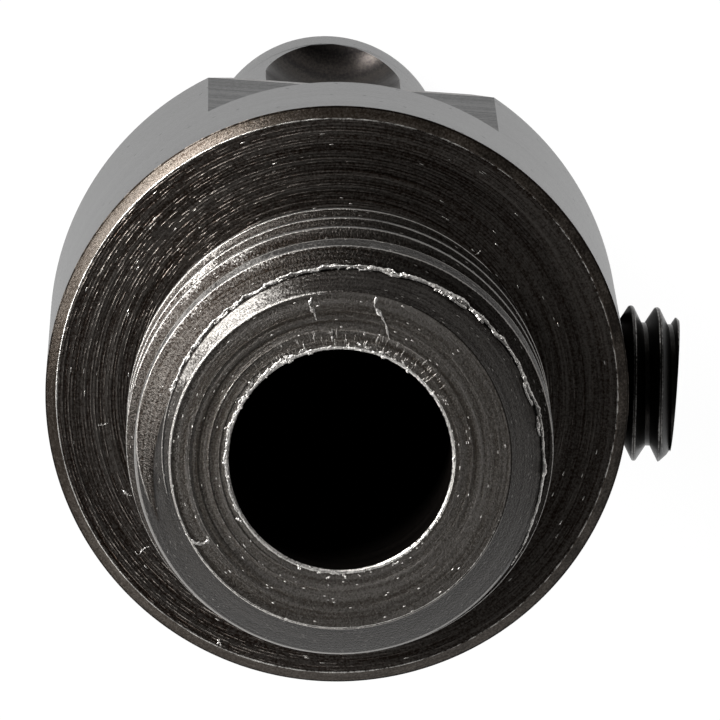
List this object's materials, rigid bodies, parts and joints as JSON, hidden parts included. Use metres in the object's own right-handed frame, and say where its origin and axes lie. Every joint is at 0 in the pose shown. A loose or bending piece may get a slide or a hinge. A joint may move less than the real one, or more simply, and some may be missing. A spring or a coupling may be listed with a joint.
{
  "type": "hole saw adapter",
  "caption": "Steel adapter with a coarse threaded nose, a round body with wrench flats, a grub screw for the pilot drill and a grooved hammer-drill shank.",
  "frame": {"origin": "centre of the shank's end face", "axes": "+Z along the axis from the shank's end to the threaded nose, +X along the grub screw, +Y square to a wrench flat"},
  "size_m": [0.024, 0.022, 0.079],
  "materials": {
    "blackened_steel": "turned steel with a worn black oxide coat",
    "black_screw_steel": "black oxide coat"
  },
  "bodies": {
    "adapter": {"adapter_body": "blackened_steel"},
    "screw": {"grub_screw": "black_screw_steel"}
  },
  "joints": [
    {"name": "grub_screw_travel", "type": "slide", "parent": "adapter", "child": "screw", "axis": [1, 0, 0], "range_m": [-0.002, 0.004]}
  ]
}
